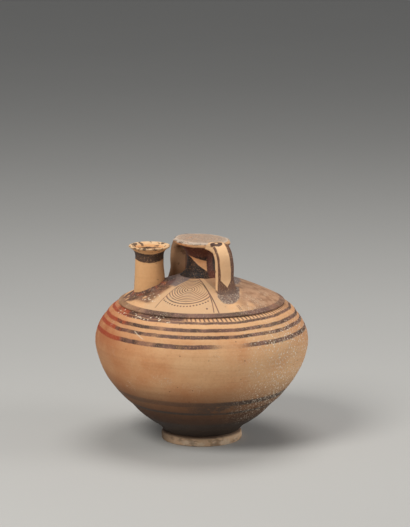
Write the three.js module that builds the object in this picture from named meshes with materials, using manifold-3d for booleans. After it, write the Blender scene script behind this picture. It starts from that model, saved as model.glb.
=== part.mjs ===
// A painted clay stirrup jar: a squat round body on a ring foot, a closed false neck
// under a flat disc, two strap handles from the disc down to the shoulder, and an
// open spout beside them. Sizes are in millimetres. Z is up, and the origin is the
// middle of the foot's underside. The handles lie along X.
import * as THREE from 'three';
import { mergeVertices } from 'three/addons/utils/BufferGeometryUtils.js';
import Module from 'manifold-3d';

const wasm = await Module();
wasm.setup();

// Driving dimensions

const BODY_RADIUS = 86; // widest part of the body
const EDGE_RADIUS = 66.2; // where the wall turns in to the shoulder
const EDGE_HEIGHT = 113; // height of that turn
const WALL = 5; // thrown wall, everywhere
const SEAM = 0.3; // gap left at each joint between pieces

const FOOT_RADIUS = 33;
const FOOT_HEIGHT = 8;
const FOOT_RECESS = 3.6; // hollow turned under the foot

const SHOULDER_TOP = 136.4; // flat seat for the false neck
const NECK_BASE_RADIUS = 14;
const NECK_WAIST_RADIUS = 11.5;
const DISC_RADIUS = 22.6;
const DISC_THICKNESS = 5.2;
const TOTAL_HEIGHT = 165.5; // top of the disc

const HANDLE_WIDTH = 15.6;
const HANDLE_THICKNESS = 9.4;
const HANDLE_REACH = 34.6; // axis of the jar to the middle of the upright strap

const SPOUT_ANGLE = THREE.MathUtils.degToRad(-116); // round the jar, from +X
const SPOUT_OFFSET = 42.2; // axis of the jar to the axis of the spout
const SPOUT_RADIUS = 11.6; // tube, outside
const SPOUT_BORE = 8.2;
const SPOUT_LIP_RADIUS = 16.5;
const SPOUT_TOP = 160;

const LARGE_ROUND = 48; // sides of a turned piece
const SMALL_ROUND = 28;
const SECTION_SIDES = 12; // sides of the strap's section
const STRAP_STEPS = 18;

// Clay colours: the pale body clay, the pinker top and the browner foot

const CLAY = 0xc08f62;
const PINK_CLAY = 0xb39a88;
const BROWN_CLAY = 0x9a7658;

// Geometry helpers

const point = (radius, height) => new THREE.Vector2(radius, height);

// A smooth line through a few measured points of a profile.
function smooth(points, steps) {
  return new THREE.SplineCurve(points).getPoints(steps);
}

// The same line moved sideways by a distance, towards its left as it runs upwards.
function inset(line, distance) {
  return line.map((here, i) => {
    const before = line[Math.max(i - 1, 0)];
    const after = line[Math.min(i + 1, line.length - 1)];
    const along = after.clone().sub(before).normalize();
    return point(here.x - along.y * distance, here.y + along.x * distance);
  });
}

// A profile turned round Z, anticlockwise when drawn with the radius to the right.
function turned(profile, sides) {
  return new THREE.LatheGeometry(profile, sides).rotateX(Math.PI / 2);
}

// A closed geometry as a solid that can be cut.
function solid(geometry) {
  const bare = geometry.clone();
  for (const name of Object.keys(bare.attributes)) {
    if (name !== 'position') bare.deleteAttribute(name);
  }
  const merged = mergeVertices(bare, 1e-3);
  const corners = merged.index.array;
  const triVerts = [];
  for (let i = 0; i < corners.length; i += 3) {
    const [a, b, c] = corners.slice(i, i + 3);
    if (a !== b && b !== c && c !== a) triVerts.push(a, b, c);
  }
  return new wasm.Manifold(new wasm.Mesh({
    numProp: 3,
    vertProperties: new Float32Array(merged.attributes.position.array),
    triVerts: new Uint32Array(triVerts),
  }));
}

// A solid back as a geometry.
function surface(body) {
  const mesh = body.getMesh();
  const geometry = new THREE.BufferGeometry();
  geometry.setAttribute('position', new THREE.BufferAttribute(mesh.vertProperties, 3));
  geometry.setIndex(new THREE.BufferAttribute(mesh.triVerts, 1));
  geometry.computeVertexNormals();
  return geometry;
}

function piece(name, geometry, color, roughness = 0.8) {
  const mesh = new THREE.Mesh(geometry, new THREE.MeshStandardMaterial({
    color, roughness, metalness: 0,
  }));
  mesh.name = name;
  return mesh;
}

// Ring foot: a low turned ring with a hollow underneath

const footEdge = 1.2;
const foot = turned([
  point(0, FOOT_RECESS),
  point(FOOT_RADIUS - 12, FOOT_RECESS),
  point(FOOT_RADIUS - 9, 0),
  point(FOOT_RADIUS - footEdge, 0),
  point(FOOT_RADIUS, footEdge),
  point(FOOT_RADIUS, FOOT_HEIGHT - 2.6),
  point(FOOT_RADIUS - footEdge, FOOT_HEIGHT - 0.8),
  point(FOOT_RADIUS - 2.4, FOOT_HEIGHT),
  point(0, FOOT_HEIGHT),
], LARGE_ROUND);

// Body: one thrown wall from the foot to the shoulder's edge, open at the top.
// Radii are shares of the widest radius, and heights shares of the edge's height.

const bodyBase = FOOT_HEIGHT + SEAM;
const bodyShape = [
  [0.36, 0.0], [0.415, 0.045], [0.563, 0.131], [0.614, 0.169], [0.679, 0.226],
  [0.756, 0.284], [0.836, 0.36], [0.901, 0.437], [0.947, 0.513], [0.978, 0.589],
  [1.0, 0.676], [0.998, 0.742], [0.979, 0.8], [0.945, 0.857], [0.901, 0.905],
  [0.856, 0.952], [EDGE_RADIUS / BODY_RADIUS, 1.0],
].map(([r, h]) => point(r * BODY_RADIUS, bodyBase + h * (EDGE_HEIGHT - bodyBase)));
const bodyOuter = smooth(bodyShape, 22);
const bodyInner = inset(bodyOuter, WALL)
  .filter((p) => p.y > bodyBase + 1.4 * WALL && p.y < EDGE_HEIGHT - 1);
const rimInner = point(EDGE_RADIUS - WALL, EDGE_HEIGHT);
const body = turned([
  point(0, bodyBase),
  ...bodyOuter,
  rimInner,
  ...bodyInner.reverse(),
  point(0, bodyBase + 1.3 * WALL),
], LARGE_ROUND);

// Shoulder: a low cone luted on to the body's rim, with a slightly proud edge

const shoulderBase = EDGE_HEIGHT + SEAM;
const shoulderRun = EDGE_RADIUS - NECK_BASE_RADIUS;
const shoulderRise = SHOULDER_TOP - shoulderBase;
const shoulderShape = [
  [1.012, 0.0], [1.012, 0.04], [0.96, 0.1], [0.81, 0.27], [0.68, 0.41],
  [0.5, 0.58], [0.31, 0.735], [0.15, 0.865], [0.0, 1.0],
].map(([r, h]) => point(
  NECK_BASE_RADIUS + r * shoulderRun,
  shoulderBase + h * shoulderRise,
));
const shoulderOuter = smooth(shoulderShape, 11);
const shoulderInner = inset(shoulderOuter, WALL)
  .filter((p) => p.y > shoulderBase && p.x < EDGE_RADIUS - WALL);

// The space that the shoulder takes, raised by one seam: what stands on the
// shoulder is trimmed to it.
const shoulderSpace = solid(turned([
  point(0, shoulderBase - 4 * WALL),
  point(shoulderOuter[0].x + SEAM, shoulderBase - 4 * WALL),
  ...shoulderOuter.map((p) => point(p.x, p.y + 1.15 * SEAM)),
  point(0, SHOULDER_TOP + 1.15 * SEAM),
], LARGE_ROUND));

const spoutAxis = new THREE.Vector2(SPOUT_OFFSET, 0)
  .rotateAround(new THREE.Vector2(), SPOUT_ANGLE);
const spoutHole = new THREE.CylinderGeometry(SPOUT_BORE, SPOUT_BORE, 60, SMALL_ROUND)
  .rotateX(Math.PI / 2)
  .translate(spoutAxis.x, spoutAxis.y, shoulderBase);
const shoulder = surface(solid(turned([
  point(0, SHOULDER_TOP - WALL),
  ...shoulderInner.reverse(),
  point(EDGE_RADIUS - WALL, shoulderBase),
  ...shoulderOuter,
  point(0, SHOULDER_TOP),
], LARGE_ROUND)).subtract(solid(spoutHole)));

// False neck: solid, waisted, and flared under the disc

const neckBase = SHOULDER_TOP + SEAM;
const discBase = TOTAL_HEIGHT - DISC_THICKNESS;
const neckHeight = discBase - SEAM - neckBase;
const neckOuter = smooth([
  point(NECK_BASE_RADIUS - 0.6, neckBase),
  point(NECK_WAIST_RADIUS + 0.8, neckBase + 0.22 * neckHeight),
  point(NECK_WAIST_RADIUS, neckBase + 0.5 * neckHeight),
  point(NECK_WAIST_RADIUS + 1.3, neckBase + 0.74 * neckHeight),
  point(NECK_WAIST_RADIUS + 5.8, neckBase + neckHeight),
], 8);
const neck = turned([
  point(0, neckBase),
  ...neckOuter,
  point(0, discBase - SEAM),
], SMALL_ROUND);

// Luting clay smoothed into the corner between the false neck and the shoulder
const neckLuting = surface(solid(turned([
  point(NECK_BASE_RADIUS - 1, neckBase - 4),
  point(NECK_BASE_RADIUS + 6, neckBase - 4),
  point(NECK_BASE_RADIUS + 4.4, neckBase - 0.6),
  point(NECK_BASE_RADIUS + 1.4, neckBase + 1.2),
  point(NECK_BASE_RADIUS - 0.2, neckBase + 3.4),
  point(NECK_BASE_RADIUS - 1, neckBase + 3.4),
  point(NECK_BASE_RADIUS - 1, neckBase - 4),
], SMALL_ROUND))
  .subtract(shoulderSpace)
  .subtract(solid(turned([
    point(0, neckBase - SEAM),
    ...neckOuter.map((p) => point(p.x + SEAM, p.y)),
    point(0, discBase),
  ], SMALL_ROUND))));

// Disc: a flat cap with a rounded rim and a slight rise in the middle
const disc = turned([
  point(0, discBase),
  point(DISC_RADIUS * 0.8, discBase),
  point(DISC_RADIUS * 0.95, discBase + 0.14 * DISC_THICKNESS),
  point(DISC_RADIUS, discBase + 0.36 * DISC_THICKNESS),
  point(DISC_RADIUS, discBase + 0.64 * DISC_THICKNESS),
  point(DISC_RADIUS * 0.95, discBase + 0.84 * DISC_THICKNESS),
  point(DISC_RADIUS * 0.62, discBase + 0.87 * DISC_THICKNESS),
  point(DISC_RADIUS * 0.3, discBase + 0.92 * DISC_THICKNESS),
  point(0, TOTAL_HEIGHT),
], LARGE_ROUND);

// Spout: a thrown tube with an everted lip, its foot trimmed to the shoulder's slope

const spoutFoot = shoulderBase - WALL;
const spoutOuter = smooth([
  point(SPOUT_RADIUS + 2.2, spoutFoot),
  point(SPOUT_RADIUS + 1.2, spoutFoot + 12),
  point(SPOUT_RADIUS + 0.2, spoutFoot + 24),
  point(SPOUT_RADIUS - 0.3, SPOUT_TOP - 11),
  point(SPOUT_RADIUS + 0.1, SPOUT_TOP - 5.5),
  point(SPOUT_LIP_RADIUS - 0.8, SPOUT_TOP - 1.9),
], 10);
const spoutSpace = (grown) => solid(turned([
  point(0, spoutFoot - 1),
  ...spoutOuter.map((p) => point(p.x + grown, p.y)),
  point(0, SPOUT_TOP),
], SMALL_ROUND)).translate([spoutAxis.x, spoutAxis.y, 0]);
const spout = surface(solid(turned([
  point(SPOUT_BORE, spoutFoot),
  ...spoutOuter,
  point(SPOUT_LIP_RADIUS, SPOUT_TOP - 1.1),
  point(SPOUT_LIP_RADIUS - 0.3, SPOUT_TOP - 0.2),
  point(SPOUT_LIP_RADIUS - 1.4, SPOUT_TOP),
  point(SPOUT_LIP_RADIUS - 3.6, SPOUT_TOP - 1.6),
  point(SPOUT_BORE + 1, SPOUT_TOP - 6),
  point(SPOUT_BORE, SPOUT_TOP - 12),
  point(SPOUT_BORE, spoutFoot),
], SMALL_ROUND)).translate([spoutAxis.x, spoutAxis.y, 0]).subtract(shoulderSpace));

// Luting clay round the foot of the spout, thumbed down on to the slope
const lutingTop = shoulderBase + 12;
const spoutLuting = surface(solid(turned([
  point(SPOUT_BORE + 2, spoutFoot),
  point(SPOUT_RADIUS + 7.5, spoutFoot),
  point(SPOUT_RADIUS + 5.6, shoulderBase + 3),
  point(SPOUT_RADIUS + 3.9, shoulderBase + 7),
  point(SPOUT_RADIUS + 2.4, lutingTop),
  point(SPOUT_RADIUS + 1.1, lutingTop + 6),
  point(SPOUT_BORE + 2, lutingTop + 6),
  point(SPOUT_BORE + 2, spoutFoot),
], SMALL_ROUND)).translate([spoutAxis.x, spoutAxis.y, 0])
  .subtract(shoulderSpace)
  .subtract(spoutSpace(SEAM)));

// Strap handles: a section like a rounded bar, carried along a bent line that leaves
// the disc's rim level and comes down upright, with its root spread on the shoulder

const strapMiddle = TOTAL_HEIGHT - 0.5 - HANDLE_THICKNESS / 2;
const strapLine = new THREE.CatmullRomCurve3([
  new THREE.Vector3(DISC_RADIUS - 4, 0, strapMiddle - 0.3),
  new THREE.Vector3(DISC_RADIUS + 1.4, 0, strapMiddle),
  new THREE.Vector3(HANDLE_REACH - 5.6, 0, strapMiddle - 1.2),
  new THREE.Vector3(HANDLE_REACH - 1.6, 0, strapMiddle - 6),
  new THREE.Vector3(HANDLE_REACH - 0.3, 0, strapMiddle - 14),
  new THREE.Vector3(HANDLE_REACH, 0, strapMiddle - 24),
  new THREE.Vector3(HANDLE_REACH + 2.2, 0, strapMiddle - 33),
  new THREE.Vector3(HANDLE_REACH + 5, 0, shoulderBase + 3),
]);

// How much wider the strap is at a share of its length: it spreads at both ends.
function spread(share) {
  const root = THREE.MathUtils.smoothstep(share, 0.7, 0.97);
  const head = 1 - THREE.MathUtils.smoothstep(share, 0, 0.3);
  return 1 + 0.26 * root + 0.1 * head;
}

// A cosine or sine pushed outwards, which squares the section's corners.
const squared = (value) => Math.sign(value) * Math.abs(value) ** 0.72;

function strapGeometry() {
  const positions = [];
  const faces = [];
  for (let i = 0; i <= STRAP_STEPS; i += 1) {
    const share = i / STRAP_STEPS;
    const middle = strapLine.getPointAt(share);
    const along = strapLine.getTangentAt(share);
    const outward = new THREE.Vector3(-along.z, 0, along.x);
    for (let k = 0; k < SECTION_SIDES; k += 1) {
      const turn = (2 * Math.PI * k) / SECTION_SIDES;
      const across = (spread(share) * HANDLE_WIDTH * squared(Math.cos(turn))) / 2;
      const out = (HANDLE_THICKNESS * squared(Math.sin(turn))) / 2;
      positions.push(middle.x + outward.x * out, across, middle.z + outward.z * out);
    }
  }
  const at = (i, k) => i * SECTION_SIDES + (k % SECTION_SIDES);
  for (let i = 0; i < STRAP_STEPS; i += 1) {
    for (let k = 0; k < SECTION_SIDES; k += 1) {
      faces.push(at(i, k), at(i, k + 1), at(i + 1, k));
      faces.push(at(i, k + 1), at(i + 1, k + 1), at(i + 1, k));
    }
  }
  for (let k = 1; k < SECTION_SIDES - 1; k += 1) {
    faces.push(at(0, 0), at(0, k + 1), at(0, k));
    faces.push(at(STRAP_STEPS, 0), at(STRAP_STEPS, k), at(STRAP_STEPS, k + 1));
  }
  const geometry = new THREE.BufferGeometry();
  geometry.setAttribute('position', new THREE.Float32BufferAttribute(positions, 3));
  geometry.setIndex(faces);
  return geometry;
}

const discSpace = new THREE.CylinderGeometry(
  DISC_RADIUS + SEAM, DISC_RADIUS + SEAM, 60, LARGE_ROUND,
).rotateX(Math.PI / 2).translate(0, 0, TOTAL_HEIGHT);
const strap = surface(solid(strapGeometry())
  .subtract(solid(discSpace))
  .subtract(shoulderSpace));

// The jar

const jar = new THREE.Group();
jar.add(piece('ring_foot', foot, BROWN_CLAY));
jar.add(piece('body', body, CLAY));
jar.add(piece('shoulder', shoulder, CLAY));
jar.add(piece('false_neck', neck, BROWN_CLAY));
jar.add(piece('neck_luting', neckLuting, BROWN_CLAY));
jar.add(piece('disc', disc, PINK_CLAY));
jar.add(piece('spout', spout, CLAY, 0.75));
jar.add(piece('spout_luting', spoutLuting, BROWN_CLAY));
jar.add(piece('handle_front', strap, CLAY, 0.75));

const handleRear = piece('handle_rear', strap.clone(), CLAY, 0.75);
handleRear.rotation.z = Math.PI;
jar.add(handleRear);

export default jar;
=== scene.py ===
# %% [markdown]
# # A painted clay stirrup jar
# The jar is thrown and built by hand from ten pieces of clay, luted together, painted
# with thinned clay and fired. It is named after its two strap handles, which meet on
# a closed false neck like a stirrup. Oil was poured from the open spout beside them.
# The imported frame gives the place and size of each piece; here each one gets the
# surface that a potter's hands and a long life leave on it.

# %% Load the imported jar
import math

import bpy
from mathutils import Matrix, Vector, noise


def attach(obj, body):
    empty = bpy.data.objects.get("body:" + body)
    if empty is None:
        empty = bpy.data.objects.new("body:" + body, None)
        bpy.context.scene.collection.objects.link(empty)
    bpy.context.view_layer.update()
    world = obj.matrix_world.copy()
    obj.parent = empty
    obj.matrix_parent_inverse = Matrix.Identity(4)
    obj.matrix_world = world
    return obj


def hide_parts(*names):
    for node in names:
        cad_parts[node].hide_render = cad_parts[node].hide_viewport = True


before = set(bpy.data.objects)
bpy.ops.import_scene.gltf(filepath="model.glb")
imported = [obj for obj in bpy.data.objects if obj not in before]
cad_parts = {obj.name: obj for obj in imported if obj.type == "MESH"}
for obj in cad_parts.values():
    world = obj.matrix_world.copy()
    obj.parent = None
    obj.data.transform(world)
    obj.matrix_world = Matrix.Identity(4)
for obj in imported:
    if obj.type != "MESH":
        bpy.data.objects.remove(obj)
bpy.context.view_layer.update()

MM = 0.001
print("nodes", sorted(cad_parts))

# %% [markdown]
# ## Camera, floor and light
# The camera repeats the photograph's: two metres away, a little above the jar and
# looking slightly down, with a long lens, so the upright lines stay nearly parallel.
# The floor is a plain pale sheet. Three large soft lamps light the jar: the main one
# high at the left, a weak one at the right for the edge of the body, and one above.

# %% Set the camera
TURN = math.radians(58)  # from the front of the frame to the photograph's side
TILT = 11.2  # degrees that the camera looks down
FOCAL = 2528.7  # the fitted focal length, in pixels of the photograph
PHOTO_HEIGHT = 527  # pixels
FILM = 36  # mm along the photograph's longer side
right = Vector((math.cos(TURN), math.sin(TURN), 0))
away = Vector((-math.sin(TURN), math.cos(TURN), 0))


def seen_at(across, depth, height):
    """A place given as the photographer sees it, in metres."""
    return right * across + away * depth + Vector((0, 0, height))


lens = bpy.data.cameras.new("photo_lens")
lens.sensor_width = FILM
lens.lens = FOCAL * FILM / PHOTO_HEIGHT
camera = bpy.data.objects.new("photo_camera", lens)
camera.location = seen_at(0.0027, -2.0, 0.54)
camera.rotation_euler = (math.radians(90 - TILT), 0, TURN)
bpy.context.scene.collection.objects.link(camera)
bpy.context.scene.camera = camera
print("camera at", [round(v, 3) for v in camera.location])


# %% Lay the floor and hang the lamps
def flat_sheet(name, size):
    sheet = bpy.data.meshes.new(name)
    h = size / 2
    sheet.from_pydata([(-h, -h, 0), (h, -h, 0), (h, h, 0), (-h, h, 0)], [], [(0, 1, 2, 3)])
    piece = bpy.data.objects.new(name, sheet)
    bpy.context.scene.collection.objects.link(piece)
    return piece


floor = flat_sheet("floor", 12)


def soft_lamp(name, place, aim, size, watts, tint):
    data = bpy.data.lights.new(name, "AREA")
    data.shape = "DISK"
    data.size = size
    data.energy = watts
    data.color = tint
    lamp = bpy.data.objects.new(name, data)
    lamp.location = place
    lamp.rotation_euler = (aim - place).to_track_quat("-Z", "Y").to_euler()
    bpy.context.scene.collection.objects.link(lamp)


middle = Vector((0, 0, 0.08))
soft_lamp("main_lamp", seen_at(-0.75, -0.85, 1.25), middle, 0.7, 17, (1, 0.97, 0.92))
soft_lamp("edge_lamp", seen_at(1.25, -0.15, 0.6), middle, 0.7, 6, (1, 0.97, 0.94))
soft_lamp("top_lamp", seen_at(0.1, 0.25, 1.5), middle, 0.9, 9, (1, 0.98, 0.95))
room = bpy.data.worlds.new("room")
room.use_nodes = True
room.node_tree.nodes["Background"].inputs["Color"].default_value = (0.62, 0.62, 0.62, 1)
room.node_tree.nodes["Background"].inputs["Strength"].default_value = 0.32
bpy.context.scene.world = room
bpy.context.scene.view_settings.view_transform = "Standard"
print("lamps", 3)

# %% [markdown]
# ## A short way to write shaders
# A painted surface is sums and products of masks: a band here, wear there. Written
# as Python expressions they stay readable, so one small class wraps a socket, and
# each operator on it adds a Math node. Any other node comes from one method.


# %% Wrap a socket
class Wire:
    """A value that varies over the surface; arithmetic on it adds Math nodes."""

    def __init__(self, recipe, socket):
        self.recipe = recipe
        self.socket = socket

    def math(self, operation, *others, clamp=False):
        values = dict(enumerate((self, *others)))
        settings = {"operation": operation, "use_clamp": clamp}
        return self.recipe.node("ShaderNodeMath", settings, values)

    def __add__(self, other):
        return self.math("ADD", other)

    def __mul__(self, other):
        return self.math("MULTIPLY", other)

    def __sub__(self, other):
        return self.math("SUBTRACT", other)

    def __rsub__(self, other):
        settings = {"operation": "SUBTRACT"}
        return self.recipe.node("ShaderNodeMath", settings, {0: other, 1: self})

    def __truediv__(self, other):
        return self.math("DIVIDE", other)

    def __mod__(self, other):
        return self.math("FLOORED_MODULO", other)

    def __abs__(self):
        return self.math("ABSOLUTE")

    def __or__(self, other):
        """Where either mask covers."""
        return self.math("MAXIMUM", other)

    def rise(self, low, high):
        """0 below low, 1 above high, smooth between them."""
        values = {0: self, 1: low, 2: high, 3: 0.0, 4: 1.0}
        settings = {"interpolation_type": "SMOOTHSTEP"}
        return self.recipe.node("ShaderNodeMapRange", settings, values)

    def fall(self, low, high):
        return 1 - self.rise(low, high)

    def between(self, low, high, soft):
        """1 from low to high, with edges that fade over a distance."""
        return self.rise(low - soft, low + soft) * self.fall(high - soft, high + soft)

    def near(self, value, reach, soft):
        """1 within reach of a value."""
        return abs(self - value).fall(reach - soft, reach + soft)

    __radd__ = __add__
    __rmul__ = __mul__


# %% Start a recipe
class Recipe:
    """One material: its nodes, and the places on the jar that they read, in mm."""

    def __init__(self, name):
        self.material = bpy.data.materials.new(name)
        self.material.use_nodes = True
        self.tree = self.material.node_tree
        self.shader = self.tree.nodes["Principled BSDF"]
        at = self.node("ShaderNodeTexCoord", {}, {}, "Object")
        self.at = self.vector("SCALE", at, scale=1 / MM)
        self.x, self.y, self.z = (
            self.node("ShaderNodeSeparateXYZ", {}, {0: self.at}, axis) for axis in "XYZ"
        )

    def node(self, kind, settings, inputs, out=0):
        made = self.tree.nodes.new(kind)
        for key, value in settings.items():
            setattr(made, key, value)
        for key, value in inputs.items():
            if isinstance(value, Wire):
                self.tree.links.new(value.socket, made.inputs[key])
            else:
                made.inputs[key].default_value = value
        return Wire(self, made.outputs[out])

    def vector(self, operation, first, second=None, scale=None):
        inputs = {0: first}
        if second is not None:
            inputs[1] = second
        if scale is not None:
            inputs["Scale"] = scale
        return self.node("ShaderNodeVectorMath", {"operation": operation}, inputs)

    def mix(self, share, first, second):
        """The second colour laid over the first."""
        return self.node("ShaderNodeMix", {"data_type": "RGBA"},
                         {0: share, 6: first, 7: second}, 2)

    def cloud(self, size, detail=4, stretch=(1, 1, 1), shift=0.0, rough=0.55):
        """Soft noise from 0 to 1, with lumps of a size in mm."""
        moved = self.vector("ADD", self.at, (shift, shift * 1.7, shift * 0.6))
        scaled = self.vector("MULTIPLY", moved, tuple(s / size for s in stretch))
        return self.node("ShaderNodeTexNoise", {}, {
            "Vector": scaled, "Scale": 1.0, "Detail": detail, "Roughness": rough,
        })

    def specks(self, size, shift=0.0):
        """Distance to the nearest of many scattered points, in shares of the size."""
        moved = self.vector("ADD", self.at, (shift, shift * 0.7, shift * 1.3))
        return self.node("ShaderNodeTexVoronoi", {}, {
            "Vector": moved, "Scale": 1 / size, "Randomness": 1.0,
        }, "Distance")

    def finish(self, colour, roughness, relief, strength=1.0):
        """Join the colour, the roughness and the relief in mm to the shader."""
        bump = self.node("ShaderNodeBump", {}, {
            "Height": relief, "Distance": MM, "Strength": strength,
        })
        for name, wire in (("Base Color", colour), ("Roughness", roughness), ("Normal", bump)):
            self.tree.links.new(wire.socket, self.shader.inputs[name])
        self.shader.inputs["Specular IOR Level"].default_value = 0.4
        return self.material


def fired(red, green, blue):
    """A colour picked on a screen, as the shader needs it."""
    return tuple(((v / 255 + 0.055) / 1.055) ** 2.4 for v in (red, green, blue)) + (1,)


def span(x, y):
    """Distance in plan from the place where both values are nought."""
    return (x * x + y * y).math("SQRT")


def bearing(x, y):
    """Direction in plan, in degrees from X."""
    return y.math("ARCTAN2", x) * (180 / math.pi)


print("shader words ready")

# %% [markdown]
# ## The clay
# The clay is a fine buff one that fires peach to orange. Three things keep it from
# being one flat colour: slow changes from the kiln's flame, faint level lines where
# the potter's fingers smoothed the turning wall, and age, which leaves pale crust,
# small pits and grey dirt. Every piece starts from this ground, and paint goes over.

# %% Mix the ground
BUFF = fired(226, 180, 134)
ORANGE = fired(207, 142, 94)
BROWN = fired(158, 108, 70)
CRUST = fired(226, 206, 180)
SOOT_AND_SHADE = fired(72, 52, 42)


def clay_ground(recipe, low=0.0, warm=0.5):
    """Colour, roughness and relief of bare clay, orange by warm; low darkens it brown towards
    the bottom, partly as painted shade.
    """
    flame = recipe.cloud(70, 3, shift=3)
    tint = recipe.mix((flame + recipe.cloud(18, 5, shift=9) * 0.5 - 0.25 + (warm - 0.5))
                      .rise(0.25, 0.75), BUFF, ORANGE)
    lines = recipe.cloud(2.2, 3, (0.03, 0.03, 1), 5)
    tint = recipe.mix(lines.rise(0.42, 0.75) * 0.15, tint, BROWN)
    if low:
        # Partly painted shade: the clay grows brown towards the bottom.
        low_brown_and_shade = recipe.z.fall(18, 74) * low
        tint = recipe.mix(low_brown_and_shade * (0.75 + recipe.cloud(30, 3) * 0.5), tint, BROWN)
    mottle = recipe.cloud(1.6, 3, shift=21)
    tint = recipe.mix(mottle.rise(0.5, 0.8) * 0.22, tint, BROWN)
    tint = recipe.mix(mottle.fall(0.22, 0.42) * 0.25, tint, CRUST)
    pits = recipe.specks(7, 2).fall(0.035, 0.09)
    tint = recipe.mix(pits * 0.7, tint, SOOT_AND_SHADE)
    relief = (lines * 0.13 + recipe.cloud(9, 4) * 0.25 + mottle * 0.1
              + recipe.cloud(0.5, 2) * 0.05 - pits * 0.3)
    rough = 0.72 + mottle * 0.2
    return tint, rough, relief


print("ground colours mixed")

# %% [markdown]
# ## The paint
# The dark bands are a thin iron-rich slip, put on with a brush while the jar turned.
# In the kiln it turns brown-black where it is thick, mauve-brown where it is thin and
# brick red where air reached it. It has crazed and flaked, so each painted mask is
# broken by fine noise before it is laid over the clay.

# %% Mix the slip
SLIP_DARK = fired(58, 38, 34)
SLIP_MAUVE = fired(112, 78, 70)
SLIP_RED = fired(158, 62, 34)


def slip_colour(recipe, flame=None):
    tint = recipe.mix(recipe.cloud(11, 4, shift=14).rise(0.38, 0.66), SLIP_DARK, SLIP_MAUVE)
    if flame is not None:
        tint = recipe.mix(flame, tint, SLIP_RED)
    return tint


def worn(recipe, mask, loss=0.5, shift=0.0):
    """A painted mask after wear: thinner in patches, with small flakes gone."""
    patches = recipe.cloud(13, 4, shift=31 + shift).rise(0.62 - 0.25 * loss, 0.86 - 0.2 * loss)
    flakes = recipe.cloud(0.9, 3, shift=44 + shift).rise(0.56, 0.66)
    return mask * (1 - patches * loss * 0.8) * (1 - flakes * (0.25 + 0.5 * loss))


def lay(recipe, ground, mask, colour):
    """Slip over the ground: its colour, a little more gloss, and a hair's relief."""
    tint, rough, relief = ground
    return recipe.mix(mask, tint, colour), rough - mask * 0.22, relief + mask * 0.06


def crust(recipe, ground, mask, fine=1.1):
    """Pale lime crust left by the soil, where the mask allows it."""
    tint, rough, relief = ground
    spots = recipe.cloud(fine, 4, shift=61, rough=0.7).rise(0.54, 0.62) * mask
    return recipe.mix(spots * 0.85, tint, CRUST), rough + spots * 0.1, relief + spots * 0.12


print("slip colours", 3)

# %% [markdown]
# ## Throwing a round piece
# Foot, body, shoulder, neck, disc and spout were all turned on the wheel, so each is
# a profile carried round an axis. The profile is drawn through a few measured points
# with a smooth curve. A true turning would look machined, so every ring is pushed out
# and in by a fraction of a millimetre, as soft clay is.


# %% Throw a profile
def curve_through(points, steps):
    """A smooth line through points, with a number of steps between each pair."""
    line = []
    for i in range(len(points) - 1):
        p0, p1 = points[max(i - 1, 0)], points[i]
        p2, p3 = points[i + 1], points[min(i + 2, len(points) - 1)]
        for k in range(steps):
            t = k / steps
            line.append(tuple(
                0.5 * (2 * b + (c - a) * t + (2 * a - 5 * b + 4 * c - d) * t * t
                       + (3 * b - a - 3 * c + d) * t ** 3)
                for a, b, c, d in zip(p0, p1, p2, p3)
            ))
    return line + [tuple(points[-1])]


def set_out(line, distance):
    """The same line moved sideways, to the left as it runs up."""
    moved = []
    for i, (r, z) in enumerate(line):
        (r0, z0), (r1, z1) = line[max(i - 1, 0)], line[min(i + 1, len(line) - 1)]
        run = math.hypot(r1 - r0, z1 - z0) or 1
        moved.append((r - (z1 - z0) / run * distance, z + (r1 - r0) / run * distance))
    return moved


def new_piece(name, verts, faces, material, node, slot):
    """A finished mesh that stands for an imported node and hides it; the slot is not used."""
    mesh = bpy.data.meshes.new(name)
    mesh.from_pydata([Vector(v) * MM for v in verts], [], faces)
    mesh.validate()
    mesh.materials.append(material)
    mesh.shade_smooth()
    piece = bpy.data.objects.new(name, mesh)
    bpy.context.scene.collection.objects.link(piece)
    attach(piece, "root")
    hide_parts(node)
    print(name, len(faces), "faces")
    return piece


def thrown(profile, sides, push, centre=(0, 0)):
    """Vertices and faces of a profile, closed on the axis or on itself, in mm."""
    verts, rings = [], []
    for r, z in profile:
        if r == 0:
            rings.append([len(verts)] * sides)
            verts.append((centre[0], centre[1], z))
            continue
        rings.append(list(range(len(verts), len(verts) + sides)))
        for k in range(sides):
            turn = 2 * math.pi * k / sides
            x, y = math.cos(turn), math.sin(turn)
            out = r + push(x * r, y * r, z)
            verts.append((centre[0] + x * out, centre[1] + y * out, z))
    if profile[0][0] > 0:
        rings.append(rings[0])
    faces = []
    for low, high in zip(rings, rings[1:]):
        for k in range(sides):
            corners = [low[k], low[(k + 1) % sides], high[(k + 1) % sides], high[k]]
            face = [c for i, c in enumerate(corners) if c not in corners[:i]]
            if len(face) > 2:
                faces.append(face)
    return verts, faces


def soft_push(amount, size, seed):
    """How far soft clay strays from a true round, in mm."""
    def push(x, y, z):
        slow = noise.noise(Vector((x / size + seed, y / size, z / size)))
        ridge = noise.noise(Vector((x / 160, y / 160 + seed, z / 2.6)))
        return amount * (slow + 0.22 * ridge)
    return push


print("wheel ready")
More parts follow.
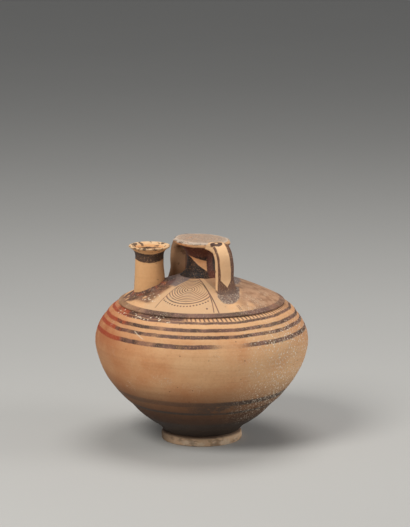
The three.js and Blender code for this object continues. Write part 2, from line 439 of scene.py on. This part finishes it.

# %% [markdown]
# ## Body
# One wall from the foot to the shoulder's edge. First its clay: the flame caught the
# side to the left of the view and turned it red. Below, painted shade darkens it to
# brown, and to a darker brown from the low lines down to the foot.

# %% Fire the body's clay
FLAMED = fired(172, 90, 54)
WARM_TAN = fired(166, 104, 62)
SHADE_UMBER = fired(92, 61, 41)
FOOT_WALL_SHADE = fired(58, 44, 37)
body_clay = Recipe("painted_body_clay")
height = body_clay.z
angle = bearing(body_clay.x, body_clay.y)
flame_mark = ((angle.near(-112, 28, 16) * height.near(97, 15, 18))
              * (0.35 + body_clay.cloud(14, 4, shift=7).rise(0.3, 0.6) * 0.65))
hot_side = angle.between(-150, -76, 22) * height.between(48, 106, 14)
# Painted shade: the lower wall is darkened to brown, and darker still just above the foot.
low_brown_and_shade = height.fall(30, 68) * (0.8 + body_clay.cloud(22, 4, shift=27) * 0.3)
shade_above_foot = (height + (body_clay.cloud(10, 5, shift=57) - 0.5) * 16).fall(22, 38)
ground = clay_ground(body_clay, low=0.62)
tint = ground[0]
for share, colour in ((flame_mark * 0.85, FLAMED), (hot_side * 0.5, WARM_TAN),
                      (low_brown_and_shade * 0.95, SHADE_UMBER), (shade_above_foot * 0.62, FOOT_WALL_SHADE)):
    tint = body_clay.mix(share, tint, colour)
ground = (tint, *ground[1:])
print("body clay", len(body_clay.tree.nodes), "nodes")

# %% [markdown]
# The bands are read from the height, which wanders a little as the brush did: four
# dark ones and a row of short slanting strokes near the top, two lines low down with
# a smear between them, and a dark wash over the foot. On the left the strokes run
# together, and light dabs are set on the dark.

# %% Paint the bands
WASH_SLIP = fired(60, 50, 43)
brush = (height + (body_clay.cloud(26, 3, (1, 1, 0.2), 17) - 0.5) * 2.0
         + (body_clay.cloud(1.7, 2, (1, 1, 0.4), 19) - 0.5) * 0.5)
upper = (brush.between(109.4, 110.9, 0.3) | brush.between(104.2, 106.7, 0.3)
         | brush.between(99.4, 101.8, 0.3))
faded = angle.between(-25, -7, 6)
fourth = brush.between(92.3, 95.5, 0.3) * (1 - faded * 0.85)
lean = (angle / 2.9 + height * 0.16) % 1.0
strokes = lean.near(0.5, 0.2, 0.1) * brush.between(111, 113.2, 0.25)
filled = angle.between(-108, -43, 3) * brush.between(111, 113.4, 0.25)
smear = (angle.near(-22, 16, 12) * brush.between(35, 43, 1.5)
         * body_clay.cloud(9, 4, shift=90).rise(0.42, 0.58))
low_lines = (brush.between(42.2, 46.6, 0.8) * (0.55 + angle.rise(-60, 0) * 0.45)
             | brush.between(33.1, 35.5, 0.5) * 0.95 | smear * 0.8)
wash = brush.fall(20.5, 24.5) * 0.95
slip = slip_colour(body_clay, flame_mark.rise(0.15, 0.5))
slip = body_clay.mix(height.fall(40, 56), slip, WASH_SLIP)
bands = (worn(body_clay, upper | fourth | strokes * 0.9 | filled, 0.5)
         | worn(body_clay, low_lines | wash, 0.4, 5))
dabs = (body_clay.specks(2.7, 4).fall(0.22, 0.34) * angle.between(-106, -52, 4)
        * brush.between(109.4, 113.6, 0.4))
ground = lay(body_clay, ground, bands * 0.94, slip)
ground = lay(body_clay, ground, dabs * 0.9, CRUST)
print("bands painted")

# %% [markdown]
# The side to the right was long in wet soil. It carries a pale crust and a scatter of
# lime spots, and it has a shallow loss and two chips low down. A tool has scratched
# the left of the bands.

# %% Age the body
LIME = fired(244, 232, 212)
soil_side = angle.near(36, 36, 22) * height.between(26, 104, 12)
soil_patches = body_clay.cloud(24, 3, shift=70).rise(0.58, 0.72) * height.rise(46, 60)
lime_spots = (body_clay.specks(2.3, 6).fall(0.18, 0.32) * soil_side
              * body_clay.cloud(9, 4, shift=52).rise(0.4, 0.54))
scratch = (height + angle * 0.55).near(60.5, 0.35, 0.3) * angle.between(-74, -66, 1)
ground = crust(body_clay, ground, soil_side, 1.4)
ground = lay(body_clay, ground, lime_spots * 0.95, LIME)
ground = crust(body_clay, ground, soil_patches, 0.8)
ground = lay(body_clay, ground, scratch * 0.6, CRUST)
body_material = body_clay.finish(*ground)
print("body recipe", len(body_clay.tree.nodes), "nodes")

# %% Throw the body
WALL = 5  # mm of clay, here and under the shoulder
BODY_LINE = [
    (31.0, 8.1), (35.7, 12.9), (42.2, 17.2), (48.4, 21.9), (52.9, 26.0), (58.4, 31.9),
    (65.0, 38.0), (71.9, 46.0), (77.5, 54.0), (81.4, 62.0), (84.1, 70.0), (86.0, 79.0),
    (85.8, 86.0), (84.2, 92.1), (81.3, 98.0), (77.5, 103.0), (73.6, 108.0), (66.2, 113.0),
]
LOSSES = [  # places where the wall is chipped: where, how far it reaches, how deep
    (Vector((44, 57, 50)), 11, 1.7),
    (Vector((30, 47.5, 29)), 5.5, 2.2),
    (Vector((24, 54, 33)), 4, 1.2),
]
body_soft = soft_push(0.55, 60, 4)


def body_push(x, y, z):
    here = Vector((x, y, z))
    ragged = 1 + 0.5 * noise.noise(here / 5)
    lost = sum(deep * math.exp(-((here - place).length / wide) ** 2)
               for place, wide, deep in LOSSES)
    return body_soft(x, y, z) - ragged * lost


outside = curve_through(BODY_LINE, 6)
inside = [p for p in set_out(outside, WALL) if 15.5 < p[1] < 112]
body_profile = [(0, 8.1), *outside, (61.2, 113), *reversed(inside), (0, 14.6)]
new_piece("thrown_body", *thrown(body_profile, 224, body_push),
          body_material, "body", "body_clay")

# %% [markdown]
# ## Shoulder
# A low cone closes the body. On it the painter drew a panel between the spout and
# each handle: a wedge with pale borders, two fine lines on one side and one on the
# other, a set of fine rings, and a row of dots under them. Read from above, the rings
# are plain circles about one point, so the panel is drawn in the plan's X and Y. The
# same panel is turned half round for the far side, with Y's sign as the switch.

# %% Draw the panel
RING_X, RING_Y = 22.2, -25.0  # the middle of the rings, in plan
RING_STEP = 2.0
OUTER_RING = 18.7
DOT_RING = 21.7
DOT_STEP = 6.8  # degrees

shoulder_clay = Recipe("painted_shoulder_clay")
sx, sy = shoulder_clay.x, shoulder_clay.y
side = sy.math("GREATER_THAN", 0.0) * -2 + 1  # 1 in front, -1 behind
px, py = sx * side, sy * side
radius, turn = span(px, py), bearing(px, py)
shake = (shoulder_clay.cloud(9, 2, shift=12) - 0.5) * 0.45

ring_x, ring_y = px - RING_X, py - RING_Y
reach = span(ring_x, ring_y) + shake
around = bearing(ring_x, ring_y)
side_line = px * 0.039 - px * px * 0.0049 - 10.5
second_line = px * -0.097 - px * px * 0.0016 - 9.44
left_line = py * py * 0.00433 + 7.0
in_panel = ((py - side_line).fall(-0.3, 0.3) * (px - left_line).rise(-0.2, 0.4)
            * radius.fall(60, 62))
ring_lines = abs((reach % RING_STEP) - RING_STEP / 2).rise(0.48, 0.8) * reach.fall(17.2, 17.6)
dot_gap = span(((around % DOT_STEP) - DOT_STEP / 2) * math.radians(DOT_RING),
               reach - DOT_RING)
dots = dot_gap.fall(0.5, 0.95) * around.between(-108, 14, 1)
lone_dot = span(px - 50.7, py + 26.7).fall(0.6, 1.1)
rubbed = span(px - 28, py + 15).fall(2, 10)
drawing = ((ring_lines | reach.near(OUTER_RING, 0.5, 0.25) | dots | lone_dot)
           * in_panel * (1 - rubbed * 0.8))
edges = ((py - side_line + shake * 0.5).near(0, 0.42, 0.25) * radius.between(17, 62, 1)
         | (py - second_line + shake * 0.5).near(0, 0.5, 0.25) * radius.between(27, 63, 1)
         | (px - left_line).near(0, 0.42, 0.2) * radius.between(30, 60, 1) * 0.7)
edges = edges * px.rise(5, 10) * py.fall(-6, -4)
print("panel drawn")

# %% [markdown]
# Around the panel the painter filled the rest: a grey wedge by the neck, dark fields
# round the spout with small reserved triangles and light dots, a leaf at the root of
# each handle, and a dark band along the shoulder's edge. Most of it is worn.

# %% Fill round the panel
SPOUT_REACH, SPOUT_TURN = 42.2, math.radians(-116)  # from the jar's axis and from X
SPOUT = Vector((SPOUT_REACH * math.cos(SPOUT_TURN), SPOUT_REACH * math.sin(SPOUT_TURN)))
blot = (shoulder_clay.cloud(4, 4, shift=33) - 0.5) * 6
round_spout = (span(sx - SPOUT.x, sy - SPOUT.y) + blot).fall(20, 23.5)
spout_field = (turn.between(-152, -80, 4) * (radius + blot * 0.6).between(32, 57, 2)
               * sy.fall(-3, 3))
reserved = ((shoulder_clay.specks(7.5, 8) + shoulder_clay.cloud(2, 2) * 0.2)
            .fall(0.30, 0.42)) * (radius + blot).rise(44, 50)
fields = (round_spout | spout_field * 0.9) * (1 - reserved * 0.85)
spout_dots = (shoulder_clay.specks(2.6, 15).fall(0.24, 0.36) * turn.between(-97, -76, 2)
              * radius.between(45, 58, 1.5))
left_wedge = px.fall(8.2, 9.4) * py.fall(-11, -9) * (radius + blot * 0.5).fall(30, 33)
edge_wobble = radius + (shoulder_clay.cloud(20, 3, shift=8) - 0.5) * 1.2
edge_band = edge_wobble.rise(62.5, 63.3) * (1 - turn.between(-150, -84, 12) * 0.35)
hatch = ((turn / 1.3 % 1.0).near(0.5, 0.22, 0.1) * turn.between(-3, 8, 0.5)
         * radius.between(55.5, 61.8, 0.6))
print("fields drawn")

# %% [markdown]
# The leaves lie across the border between the two panels, so they are drawn with X's
# sign as the switch. A leaf is half of an oval beyond the handle's root, and straight
# behind it.

# %% Draw the leaves
LEAF_X, LEAF_Y = 40.7, -0.3  # the root of the handle, in plan
ALONG_X, ALONG_Y = 0.934, -0.357  # the way the leaf points
half_turn = sx.math("SIGN")
leaf_x, leaf_y = sx * half_turn, sy * half_turn
from_x, from_y = leaf_x - LEAF_X, leaf_y - LEAF_Y
leaf_run = from_x * ALONG_X + from_y * ALONG_Y
leaf_side = from_y * ALONG_X - from_x * ALONG_Y + leaf_run * 0.19
leaf = ((span(leaf_side / 9, leaf_run.math("MAXIMUM", 0.0) / 14)
         + (shoulder_clay.cloud(3, 3, shift=29) - 0.5) * 0.2).fall(0.93, 1.07)
        * leaf_run.rise(-15, -13))
leaf_specks = leaf * shoulder_clay.cloud(1.2, 4, shift=37, rough=0.7).rise(0.52, 0.6)
right_wedge = leaf_y.rise(-8.4, -7.4) * leaf_y.fall(2, 16) * (radius + blot * 0.5).fall(34, 37)
print("leaves drawn")

# %% [markdown]
# Now the coats go on in the painter's order, over a ground that is paler round the
# panel and mottled brown at the far right.

# %% Paint the shoulder
PANEL_CLAY = fired(204, 168, 131)
WEDGE_CLAY = fired(150, 112, 86)
FADED_TAN = fired(170, 132, 106)
FADED_BROWN = fired(128, 92, 70)
GREY_SLIP = fired(118, 104, 102)
LEAF_SLIP = fired(100, 82, 77)
pale_border = turn.between(-80, -10, 4) * radius.rise(16, 22)
faded_side = (sy.rise(-6, 10) * sx.rise(-30, 10)
              * shoulder_clay.cloud(20, 4, shift=2).rise(0.25, 0.5))
faded_tint = shoulder_clay.mix(shoulder_clay.cloud(6, 5, shift=63).rise(0.4, 0.62),
                               FADED_TAN, FADED_BROWN)
tint, *rest = clay_ground(shoulder_clay, warm=0.42)
for share, colour in ((pale_border * 0.75, PANEL_CLAY), (right_wedge * 0.6, WEDGE_CLAY),
                      (faded_side * 0.8, faded_tint)):
    tint = shoulder_clay.mix(share, tint, colour)
slip = slip_colour(shoulder_clay, shoulder_clay.cloud(9, 3, shift=50).rise(0.58, 0.8) * 0.5)
coats = [
    (worn(shoulder_clay, left_wedge, 0.35, 3) * 0.95, GREY_SLIP),
    (worn(shoulder_clay, fields, 0.45, 7) * 0.92, slip),
    (spout_dots * 0.85, CRUST),
    (worn(shoulder_clay, leaf, 0.2, 9) * 0.94, LEAF_SLIP),
    (leaf_specks * 0.5, CRUST),
    (worn(shoulder_clay, edge_band, 0.35, 1) * 0.92, slip),
    ((drawing | edges | hatch) * 0.88, slip),
]
shoulder_ground = (tint, *rest)
for mask, paint in coats:
    shoulder_ground = lay(shoulder_clay, shoulder_ground, mask, paint)
soil_patches = shoulder_clay.cloud(16, 3, shift=81).rise(0.5, 0.62) * 0.8
shoulder_ground = crust(shoulder_clay, shoulder_ground, soil_patches, 0.9)
shoulder_material = shoulder_clay.finish(*shoulder_ground)
print("shoulder recipe", len(shoulder_clay.tree.nodes), "nodes")

# %% Throw the shoulder
SHOULDER_LINE = [
    (66.8, 113.1), (66.9, 114.2), (64.6, 115.5), (56.4, 119.5), (49.5, 122.8),
    (40.1, 126.7), (30.2, 130.3), (21.8, 133.3), (14.0, 136.4),
]


def slope_height(r):
    """Height of the shoulder's outside at a distance from the jar's axis."""
    for (r0, z0), (r1, z1) in zip(SHOULDER_LINE[1:], SHOULDER_LINE[2:]):
        if r >= r1:
            return z0 + (z1 - z0) * min(1, (r0 - r) / (r0 - r1))
    return SHOULDER_LINE[-1][1]


top_line = curve_through(SHOULDER_LINE, 7)
under_line = [p for p in set_out(top_line, WALL) if p[1] > 113.1 and p[0] < 61]
shoulder_profile = [(0, 131.4), *reversed(under_line), (61.2, 113.1), *top_line, (0, 136.4)]
shoulder = new_piece("luted_shoulder",
                     *thrown(shoulder_profile, 224, soft_push(0.3, 40, 9)),
                     shoulder_material, "shoulder", "shoulder_clay")

# %% [markdown]
# Before the spout was luted on, a round hole was cut through the slope, so that the
# jar could be filled and poured.

# %% Cut the hole under the spout
BORE = 8.2  # half the width of the hole and of the spout's inside, in mm
awl_verts, awl_faces = thrown([(0, 100), (BORE, 100), (BORE, 150), (0, 150)], 64,
                              lambda *_: 0, SPOUT)
awl_mesh = bpy.data.meshes.new("awl")
awl_mesh.from_pydata([Vector(v) * MM for v in awl_verts], [], awl_faces)
awl = bpy.data.objects.new("awl", awl_mesh)
bpy.context.scene.collection.objects.link(awl)
hole = shoulder.modifiers.new("hole", "BOOLEAN")
hole.operation = "DIFFERENCE"
hole.object = awl
cut = bpy.data.meshes.new_from_object(
    shoulder.evaluated_get(bpy.context.evaluated_depsgraph_get()))
shoulder.modifiers.clear()
shoulder.data = cut
cut.shade_smooth()
bpy.data.objects.remove(awl)
print("shoulder after the hole", len(cut.polygons))

# %% [markdown]
# ## Foot
# A low ring, turned when the jar was leather-hard. It was left bare, so it is paler
# than the washed wall above it. It is dirty at the left, and paler in front, where rubbed
# clay carries a painted highlight. Its top, in the groove under the wall, is darkened
# with painted shade.

# %% Turn the foot
FOOT_CLAY = fired(212, 180, 148)
RUBBED_WHITE_AND_HIGHLIGHT = fired(226, 204, 178)
FOOT_DIRT = fired(112, 84, 62)
FOOT_SMOKE = fired(66, 53, 45)
foot_clay = Recipe("bare_foot_clay")
foot_turn = bearing(foot_clay.x, foot_clay.y)
# Paler in front and low down: rubbed clay with a painted highlight.
rub_and_highlight = (foot_clay.cloud(6, 4, shift=4).rise(0.4, 0.6) * foot_clay.z.fall(3.6, 6.4)
       * foot_turn.near(-20, 55, 25))
dirt = foot_clay.cloud(8, 4, (1, 1, 2), 15).rise(0.48, 0.66)
tint, *rest = clay_ground(foot_clay, warm=0.3)
# The last coat darkens the foot's top, in the groove under the wall, as painted shade.
for share, colour in ((0.85, FOOT_CLAY), (rub_and_highlight * 0.75, RUBBED_WHITE_AND_HIGHLIGHT),
                      (dirt * 0.55, FOOT_DIRT),
                      (foot_turn.near(-120, 35, 25) * 0.7, FOOT_SMOKE),
                      (foot_clay.z.rise(5.4, 7.4) * 0.85, SOOT_AND_SHADE)):
    tint = foot_clay.mix(share, tint, colour)
foot_material = foot_clay.finish(tint, *rest)
foot_line = curve_through([(24, 0), (31.8, 0.0), (33.0, 1.4), (32.9, 5.2), (31.9, 7.1),
                           (30.5, 8.2)], 6)
foot_profile = [(0, 3.6), (21, 3.6), *foot_line, (0, 8.2)]
foot_push = soft_push(0.5, 14, 2)
new_piece("turned_foot", *thrown(
    foot_profile, 160, lambda x, y, z: foot_push(x, y, z) - 0.25 if z > 0.2 else 0.0,
), foot_material, "ring_foot", "foot_clay")

# %% [markdown]
# ## False neck and its luting
# The neck is a waisted plug, closed under the disc. It is dark with slip: red-brown
# at the top and nearly black at the foot, where the black is also painted shadow, cast
# by the disc and the handle. The bare wedge between is the lit part, and its diagonal
# lower edge is that painted shadow's edge. The clay smoothed into its corner is a
# second piece, washed with the same slip and painted shadow.

# %% Shape the neck
NECK_BLACK_AND_SHADOW = fired(31, 23, 21)
NECK_RED = fired(92, 48, 36)
neck_clay = Recipe("slip_and_shadow_neck_clay")
neck_turn = bearing(neck_clay.x, neck_clay.y)
neck_ground = clay_ground(neck_clay)
# Painted shadow: below the lit wedge's diagonal lower edge, the black slip stands for the shadow
# of the disc and the handle.
sweep = neck_turn + 97 + (neck_clay.cloud(3, 3, shift=11) - 0.5) * 8
lit_wedge = ((neck_clay.z + sweep * 0.160 - 153.4).rise(-0.4, 0.4)
         * (neck_clay.z + sweep * 0.052 - 152.6).fall(-0.4, 0.4)
         * neck_turn.fall(-14, -10) * neck_turn.rise(-100, -94))
red_part = neck_clay.z.rise(150, 153) | neck_turn.near(4, 14, 5)
neck_slip_and_shadow = neck_clay.mix(red_part, NECK_BLACK_AND_SHADOW, NECK_RED)
neck_ground = lay(neck_clay, neck_ground, worn(neck_clay, 1 - lit_wedge, 0.15, 2), neck_slip_and_shadow)
neck_material = neck_clay.finish(*neck_ground)
neck_line = curve_through([(15.6, 135.2), (13.4, 138.0), (12.2, 142.2), (11.5, 148.3),
                           (12.8, 153.9), (16.2, 158.4), (18.0, 160.4)], 8)
new_piece("waisted_neck",
          *thrown([(0, 135.2), *neck_line, (0, 160.8)], 112, soft_push(0.4, 12, 6)),
          neck_material, "false_neck", "neck_clay")

# %% [markdown]
# A luting is a coil pressed into a corner and wiped down with a wet finger. Its outer
# skin starts on the upright piece and dies away on the slope, so it is built as rings
# that follow the shoulder's height, with the last ring sunk under the surface.


# %% Press the lutings
def luting(centre, r_in, r_out, rise, seed, sides=128, steps=14):
    """A hollow-faced coil round an upright piece, on the shoulder's slope, in mm."""
    profile = [(i / steps, rise * (1 - i / steps) ** 2.6 - 0.5 * (i / steps)) for i in
               range(steps + 1)]
    profile += [(1.0, -2.2), (0.0, -2.2)]
    verts, faces = [], []
    for share, lift in profile:
        for k in range(sides):
            at = 2 * math.pi * k / sides
            way = Vector((math.cos(at), math.sin(at)))
            thumb = 1 + 0.16 * noise.noise(Vector((way.x * 2.4, way.y * 2.4, seed)))
            r = r_in + (r_out - r_in) * share * thumb
            spot = Vector(centre) + way * r
            verts.append((spot.x, spot.y, slope_height(spot.length) + lift * thumb))
    rings = len(profile)
    for i in range(rings):
        for k in range(sides):
            a, b = i * sides + k, i * sides + (k + 1) % sides
            c, d = ((i + 1) % rings) * sides + (k + 1) % sides, ((i + 1) % rings) * sides + k
            faces.append((a, d, c, b))
    return verts, faces


# The neck's coil takes the same black slip and painted shadow.
new_piece("neck_luting_coil", *luting((0, 0), 12.6, 20.5, 3.6, 3),
          neck_material, "neck_luting", "neck_clay")
luting_clay = Recipe("spout_luting_clay")
luting_ground = clay_ground(luting_clay, warm=0.6)
luting_cover = worn(luting_clay, luting_clay.cloud(5, 3, shift=3).rise(0.2, 0.4), 0.35, 8)
luting_ground = lay(luting_clay, luting_ground, luting_cover * 0.94,
                    slip_colour(luting_clay, luting_clay.cloud(6, 3).rise(0.5, 0.7) * 0.6))
luting_ground = crust(luting_clay, luting_ground, luting_clay.cloud(5, 2).rise(0.4, 0.6), 0.9)
luting_material = luting_clay.finish(*luting_ground)
new_piece("spout_luting_coil", *luting(SPOUT, 11.4, 18.4, 3.4, 5),
          luting_material, "spout_luting", "neck_clay")

# %% [markdown]
# ## Disc
# The flat cap sits a little crooked and leans down to the view's right. Its top is
# worn to a pinkish grey, with faint rings left from a painted spiral. Its rim is bare,
# rubbed white above and knocked ragged at the view's left.

# %% Wear the disc
WORN_GREY = fired(160, 142, 128)
RIM_WHITE = fired(212, 196, 180)
disc_clay = Recipe("worn_disc_clay")
disc_r = span(disc_clay.x, disc_clay.y)
top_face = disc_clay.z.rise(162.9, 163.6)
greyed = disc_clay.cloud(6, 4, shift=6).rise(0.2, 0.5) * top_face
rim_wear = disc_clay.z.rise(163, 163.8) * disc_r.rise(19, 21)
tint, *rest = clay_ground(disc_clay, warm=0.45)
tint = disc_clay.mix(greyed * 0.85, tint, WORN_GREY)
tint = disc_clay.mix(rim_wear * 0.6, tint, RIM_WHITE)
disc_ground = (tint, *rest)
spiral = (((disc_r + disc_clay.cloud(8, 2) * 1.5) % 2.6).near(1.3, 0.45, 0.3)
          * disc_r.between(2, 17, 1) * top_face)
disc_ground = lay(disc_clay, disc_ground, worn(disc_clay, spiral, 0.6, 4) * 0.55, SLIP_MAUVE)
under = disc_clay.z.fall(160.7, 161.6)
rim_patches = (disc_r.rise(20.4, 21.6) * disc_clay.z.rise(162.4, 163.2)
               * disc_clay.cloud(4, 4, shift=40).rise(0.5, 0.62))
disc_ground = lay(disc_clay, disc_ground, under * 0.85 | rim_patches * 0.8,
                  slip_colour(disc_clay))
disc_ground = crust(disc_clay, disc_ground, top_face * 0.9, 0.8)
disc_material = disc_clay.finish(*disc_ground)
print("disc recipe", len(disc_clay.tree.nodes), "nodes")

# %% Cap the neck
LEAN = 0.045  # how far the disc falls to the view's right, per mm
RIM_LOSS = 0.07  # how much of the rim is knocked away, as a share of its radius
disc_line = curve_through([(16, 159.8), (21.2, 160.4), (22.5, 161.8), (22.3, 163.5),
                           (20.9, 164.5), (14, 164.7), (6.8, 165.0)], 8)
disc_verts, disc_faces = thrown([(0, 159.8), *disc_line, (0, 165.2)], 144,
                                soft_push(0.9, 7, 8))


def knocked(x, y, z):
    """The disc's lean, and its ragged left side."""
    flat = Vector((x, y, 0))
    rim = max(0, flat.length - 15) / 7.5
    away_side = max(0, -flat.normalized().dot(right)) if flat.length else 0
    bite = rim * away_side * (0.6 + noise.noise(Vector((x / 2.6, y / 2.6, z / 2.6 + 3))))
    kept = 1 - RIM_LOSS * max(0, bite)
    lift = 0.35 * noise.noise(Vector((x / 5, y / 5, 7))) - LEAN * flat.dot(right)
    return x * kept, y * kept, z + lift


new_piece("crooked_disc", [knocked(*v) for v in disc_verts], disc_faces,
          disc_material, "disc", "disc_clay")

# %% [markdown]
# ## Spout
# A separately thrown tube, a little narrower at the middle, with a lip folded out by
# a finger. A dark band runs under the lip; the rest of the tube is bare clay. The lip
# is rubbed pale and stained. Inside, the clay is unpainted.

# %% Paint the spout
TUBE_CLAY = fired(226, 164, 100)
COLLAR_SLIP = fired(48, 33, 26)
RUBBED_LIP = fired(226, 198, 160)
spout_clay = Recipe("spout_clay")
tube_x, tube_y = spout_clay.x - SPOUT.x, spout_clay.y - SPOUT.y
dip = (abs(bearing(tube_x, tube_y) + 32).fall(0, 90) * 1.8
       - (spout_clay.cloud(4, 3, shift=5) - 0.5) * 1.4)
collar = ((spout_clay.z + dip).between(149.3, 156.4, 0.35)
          * span(tube_x, tube_y).rise(10.2, 10.8))
lip_rub = (spout_clay.z.rise(157.5, 158.9)
           * (0.5 + spout_clay.cloud(3, 3).rise(0.35, 0.6) * 0.5))
lip_stain = (spout_clay.z.between(156.9, 160.4, 0.5)
             * spout_clay.cloud(4, 3, shift=30).rise(0.52, 0.62))
tint, *rest = clay_ground(spout_clay, warm=0.3)
spout_ground = (spout_clay.mix(0.35, tint, TUBE_CLAY), *rest)
tint, *rest = lay(spout_clay, spout_ground, worn(spout_clay, collar, 0.18, 6) * 0.97,
                  spout_clay.mix(0.8, slip_colour(spout_clay), COLLAR_SLIP))
spout_ground = (spout_clay.mix(lip_rub * 0.7, tint, RUBBED_LIP), *rest)
spout_ground = lay(spout_clay, spout_ground, lip_stain * 0.85, SLIP_DARK)
spout_material = spout_clay.finish(*spout_ground)
print("spout recipe", len(spout_clay.tree.nodes), "nodes")

# %% Throw the spout
tube_line = curve_through([
    (13.4, 112.5), (12.9, 118.5), (12.4, 128), (11.8, 138), (11.3, 148.5), (11.6, 153.5),
    (13.2, 156.5), (16.2, 158.7), (16.5, 159.6), (15.5, 160.0), (13.4, 158.9),
    (10.4, 155.1), (BORE + 0.5, 149.5), (BORE, 141.5), (BORE, 112.5),
], 6)
new_piece("thrown_spout", *thrown(tube_line, 128, soft_push(0.5, 10, 3), SPOUT),
          spout_material, "spout", "spout_clay")

# %% [markdown]
# ## Strap handles
# Each handle is a pulled strap of clay, its section a bar with rounded corners. It is
# pressed to the disc's rim, bent over, and thumbed down on the shoulder, where it
# spreads. A bare strip was left along its back between two dark edges, and a loop is
# painted at the top. The rear handle is the same strap turned half round, with an arch
# that has sagged a little.

# %% Find the sides of a strap
strap_clay = Recipe("painted_strap_clay")
strap_turn = strap_clay.x.math("SIGN")  # the rear strap is the front one turned half round
out_x, across = strap_clay.x * strap_turn, strap_clay.y * strap_turn
facing = strap_clay.node("ShaderNodeNewGeometry", {}, {}, "Normal")
outward = strap_clay.vector("DOT_PRODUCT", facing, strap_clay.node(
    "ShaderNodeCombineXYZ", {}, {0: strap_turn, 2: 0.8}))
outward = Wire(strap_clay, outward.socket.node.outputs["Value"])
back_face = outward.rise(0.25, 0.5)
inner_face = outward.fall(-0.7, -0.2)
print("strap sides found")

# %% [markdown]
# The paint stands in the two margins of the back, on the far edge of the inner side,
# round the root and in stray spots. It thins out near the disc's rim and is greyer at
# the root. The whole rear strap is darkened to brown as painted shade.

# %% Paint the straps
STRAP_CLAY = fired(240, 200, 156)
STRAP_RED = fired(88, 50, 38)
ROOT_GREY = fired(112, 90, 82)
REAR_SHADE_BROWN = fired(104, 66, 42)
tint, *rest = clay_ground(strap_clay, warm=0.22)
ground = (strap_clay.mix(0.5, tint, STRAP_CLAY), *rest)
sway = (strap_clay.cloud(8, 3, shift=3) - 0.5) * 1.6
half = 4.3 - strap_clay.z.fall(129.5, 138) * 5
strip_middle = strap_clay.z.fall(128, 158) * 0.8 - 1.8
bare_strip = (abs(across - strip_middle + sway) - half).fall(-0.2, 0.5)
root_paint = (strap_clay.z + sway).fall(128, 130)
loop_r = span(out_x - 26.4, across + 2.8) + (strap_clay.cloud(3, 3, shift=71) - 0.5) * 2
loop = loop_r.between(1.4, 4.6, 0.4) * strap_clay.z.rise(161, 162.4)
near_rim = out_x.fall(27.5, 30)
margins = back_face * (1 - bare_strip) * (1 - near_rim * 0.7)
far_edge = inner_face * (across + sway).fall(-3.4, -2.4)
spots = (1 - back_face) * strap_clay.cloud(5, 4, shift=66).rise(0.6, 0.68)
cover = margins | far_edge | loop | root_paint | spots * 0.8
ground = lay(strap_clay, ground, worn(strap_clay, cover, 0.28, 2) * 0.94,
             strap_clay.mix(strap_clay.z.fall(125, 132), STRAP_RED, ROOT_GREY))
tint, *rest = lay(strap_clay, ground, loop * 0.7, SLIP_DARK)
# Painted shade: the rear strap, behind the neck, is darkened brown all over.
tint = strap_clay.mix(strap_clay.x.fall(-14, -12) * 0.75, tint, REAR_SHADE_BROWN)
strap_material = strap_clay.finish(tint, *rest)
print("strap paint", len(strap_clay.tree.nodes), "nodes")

# %% Pull the straps
STRAP_LINE = [(18.6, 161.5), (24.0, 161.2), (29.0, 159.5), (33.0, 154.3), (34.3, 146.3),
              (34.6, 136.3), (36.8, 127.3), (39.6, 119.5)]
HALF_WIDTH, HALF_THICKNESS = 7.6, 4.6
CORNERS = 0.72  # 1 gives an oval section, and less gives squarer corners
HEAD_SPREAD, ROOT_SPREAD = 0.3, 0.26  # how much wider it is pressed at its two ends
HEAD_PRESS = 1.5  # mm that the half thickness loses at the disc


def eased(share, low, high):
    """0 below low, 1 above high, smooth between them."""
    t = min(1, max(0, (share - low) / (high - low)))
    return t * t * (3 - 2 * t)


def strap(sign, seed, droop=0.0, steps=9, sides=48):
    """One strap in mm: sign gives its side of the jar, droop how far its arch sags."""
    line = curve_through(STRAP_LINE, steps)
    verts, faces = [], []
    last = len(line) - 1
    for i, (r, z) in enumerate(line):
        (r0, z0), (r1, z1) = line[max(i - 1, 0)], line[min(i + 1, last)]
        run = math.hypot(r1 - r0, z1 - z0)
        out_r, out_z = -(z1 - z0) / run, (r1 - r0) / run
        share = i / last
        lower = droop * math.sin(math.pi * share) ** 0.5
        head = 1 - eased(share, 0, 0.26)
        wide = HALF_WIDTH * (1 + ROOT_SPREAD * eased(share, 0.7, 0.97) + HEAD_SPREAD * head ** 2)
        thick = HALF_THICKNESS - HEAD_PRESS * head
        for k in range(sides):
            at = 2 * math.pi * k / sides
            c, s = math.cos(at), math.sin(at)
            side = wide * math.copysign(abs(c) ** CORNERS, c)
            up = thick * math.copysign(abs(s) ** CORNERS, s)
            lump = 0.35 * noise.noise(Vector((side / 6 + seed, up / 6, i / 6)))
            up, side = up * (1 + lump / 6), side * (1 + lump / 8)
            verts.append((sign * (r + out_r * up), sign * side, z + out_z * up - lower))
    for i in range(last):
        for k in range(sides):
            a, b = i * sides + k, i * sides + (k + 1) % sides
            faces.append((a, b, b + sides, a + sides))
    faces.append(tuple(reversed(range(sides))))
    faces.append(tuple(last * sides + k for k in range(sides)))
    return verts, faces


new_piece("front_strap", *strap(1, 1), strap_material,
          "handle_front", "handle_clay")
new_piece("rear_strap", *strap(-1, 5, droop=1.6), strap_material,
          "handle_rear", "handle_clay")

# %% [markdown]
# The floor is a plain pale sheet of matt board.

# %% Finish
PALE_BOARD = fired(186, 186, 184)
BOARD_SHADE = fired(176, 176, 175)
board = Recipe("pale_board")
board_tint = board.mix(board.cloud(300, 2) * 0.3, PALE_BOARD, BOARD_SHADE)
floor.data.materials.append(board.finish(board_tint, board.cloud(40, 2) * 0.1 + 0.8,
                                         board.cloud(3, 2) * 0.05))
